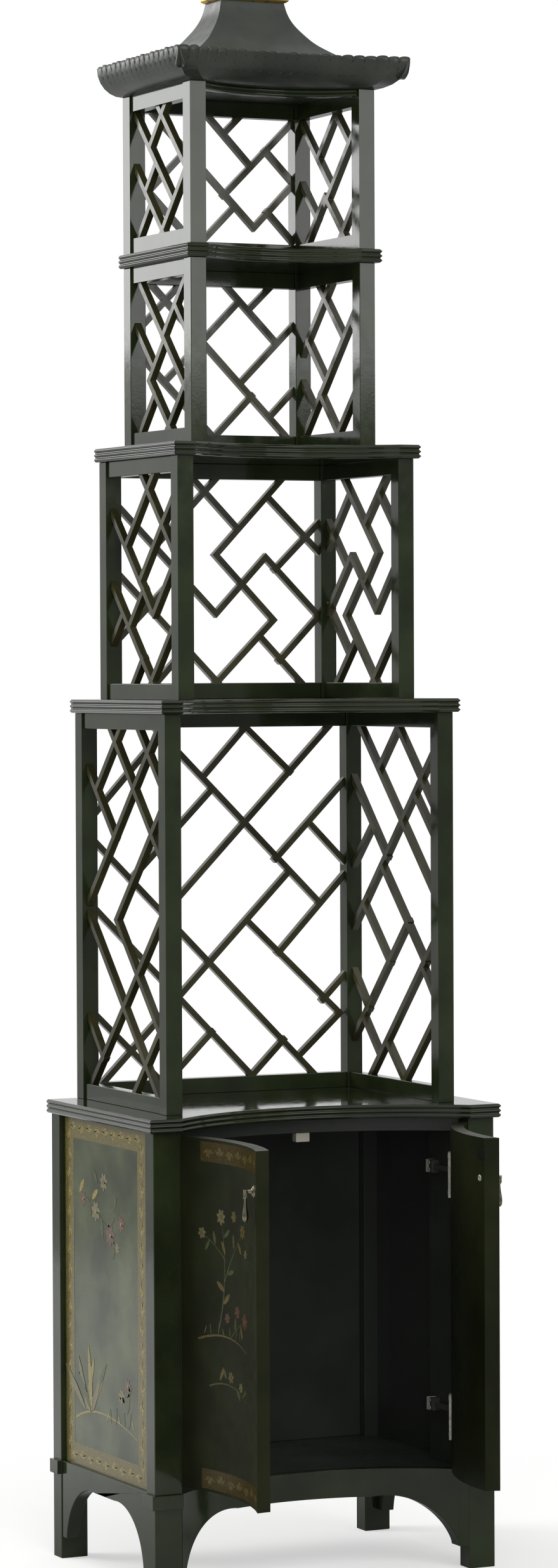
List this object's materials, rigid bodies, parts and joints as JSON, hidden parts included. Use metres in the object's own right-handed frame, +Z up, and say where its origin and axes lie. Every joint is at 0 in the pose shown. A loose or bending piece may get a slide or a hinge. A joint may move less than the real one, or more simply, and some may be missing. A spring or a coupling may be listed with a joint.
{
  "type": "etagere",
  "caption": "Tall lacquered pagoda etagere: hollow-fronted cabinet with curved doors and pear-drop pulls, stepped open tiers with lattice fretwork, and a hipped roof with a gilt cap.",
  "frame": {"origin": "on the floor, under the middle of the overall box with the doors open as stored", "axes": "+X to the viewer's right across the front, +Y to the back, +Z up"},
  "size_m": [0.56, 0.625, 2.378],
  "materials": {
    "lacquer": "gloss lacquer, dark green-black",
    "fret_lacquer": "gloss lacquer, dark green-black",
    "panel_lacquer": "gloss lacquer with a gilt border and painted sprays",
    "door_lacquer": "gloss lacquer with a gilt border and painted sprays",
    "inner_lacquer": "satin lacquer, near black",
    "gilt": "gilded, satin",
    "pull_metal": "aged polish",
    "hinge_steel": "bright plated",
    "catch_body": "pale, matte"
  },
  "bodies": {
    "carcass": {"back_apron": "lacquer", "back_left_post": "lacquer", "back_panel": "inner_lacquer", "back_right_post": "lacquer", "cabinet_floor": "inner_lacquer", "cabinet_top": "lacquer", "ceiling_board": "lacquer", "eave_moulding": "lacquer", "finial": "gilt", "frieze_rail": "inner_lacquer", "front_apron": "lacquer", "front_left_post": "lacquer", "front_right_post": "lacquer", "gilt_cap": "gilt", "hipped_roof": "lacquer", "left_apron": "lacquer", "left_hinge_arms": "hinge_steel", "left_hinge_batten": "inner_lacquer", "left_side_panel": "panel_lacquer", "magnetic_catch": "catch_body", "right_apron": "lacquer", "right_hinge_arms": "hinge_steel", "right_hinge_batten": "inner_lacquer", "right_side_panel": "panel_lacquer", "shelf_1": "lacquer", "shelf_2": "lacquer", "shelf_3": "lacquer", "tier_1_back_fret": "fret_lacquer", "tier_1_left_fret": "fret_lacquer", "tier_1_posts": "lacquer", "tier_1_rails": "lacquer", "tier_1_right_fret": "fret_lacquer", "tier_2_back_fret": "fret_lacquer", "tier_2_left_fret": "fret_lacquer", "tier_2_posts": "lacquer", "tier_2_rails": "lacquer", "tier_2_right_fret": "fret_lacquer", "tier_3_back_fret": "fret_lacquer", "tier_3_left_fret": "fret_lacquer", "tier_3_posts": "lacquer", "tier_3_rails": "lacquer", "tier_3_right_fret": "fret_lacquer", "tier_4_back_fret": "fret_lacquer", "tier_4_left_fret": "fret_lacquer", "tier_4_posts": "lacquer", "tier_4_rails": "lacquer", "tier_4_right_fret": "fret_lacquer", "waist_collars": "lacquer"},
    "left_door": {"left_door": "door_lacquer", "left_hinge_cups": "hinge_steel", "left_pull_rosette": "pull_metal"},
    "right_door": {"right_door": "door_lacquer", "right_hinge_cups": "hinge_steel", "right_pull_rosette": "pull_metal", "right_strike": "hinge_steel"},
    "left_pull_drop": {"left_pull_drop": "pull_metal"},
    "right_pull_drop": {"right_pull_drop": "pull_metal"}
  },
  "joints": [
    {"name": "left_door_hinge", "type": "hinge", "parent": "carcass", "child": "left_door", "pos_m": [-0.2284, -0.06892, 0.4], "axis": [0, 0, -1], "range_deg": [-110.3, 3.7]},
    {"name": "right_door_hinge", "type": "hinge", "parent": "carcass", "child": "right_door", "pos_m": [0.2284, -0.06892, 0.4], "axis": [0, 0, 1], "range_deg": [-94, 20]},
    {"name": "left_pull_swing", "type": "hinge", "parent": "left_door", "child": "left_pull_drop", "pos_m": [-0.22999, -0.28822, 0.5945], "axis": [0.2831, 0.9591, 0], "range_deg": [-10, 85]},
    {"name": "right_pull_swing", "type": "hinge", "parent": "right_door", "child": "right_pull_drop", "pos_m": [0.16837, -0.27985, 0.5945], "axis": [0.0026, -1, 0], "range_deg": [-10, 85]}
  ]
}
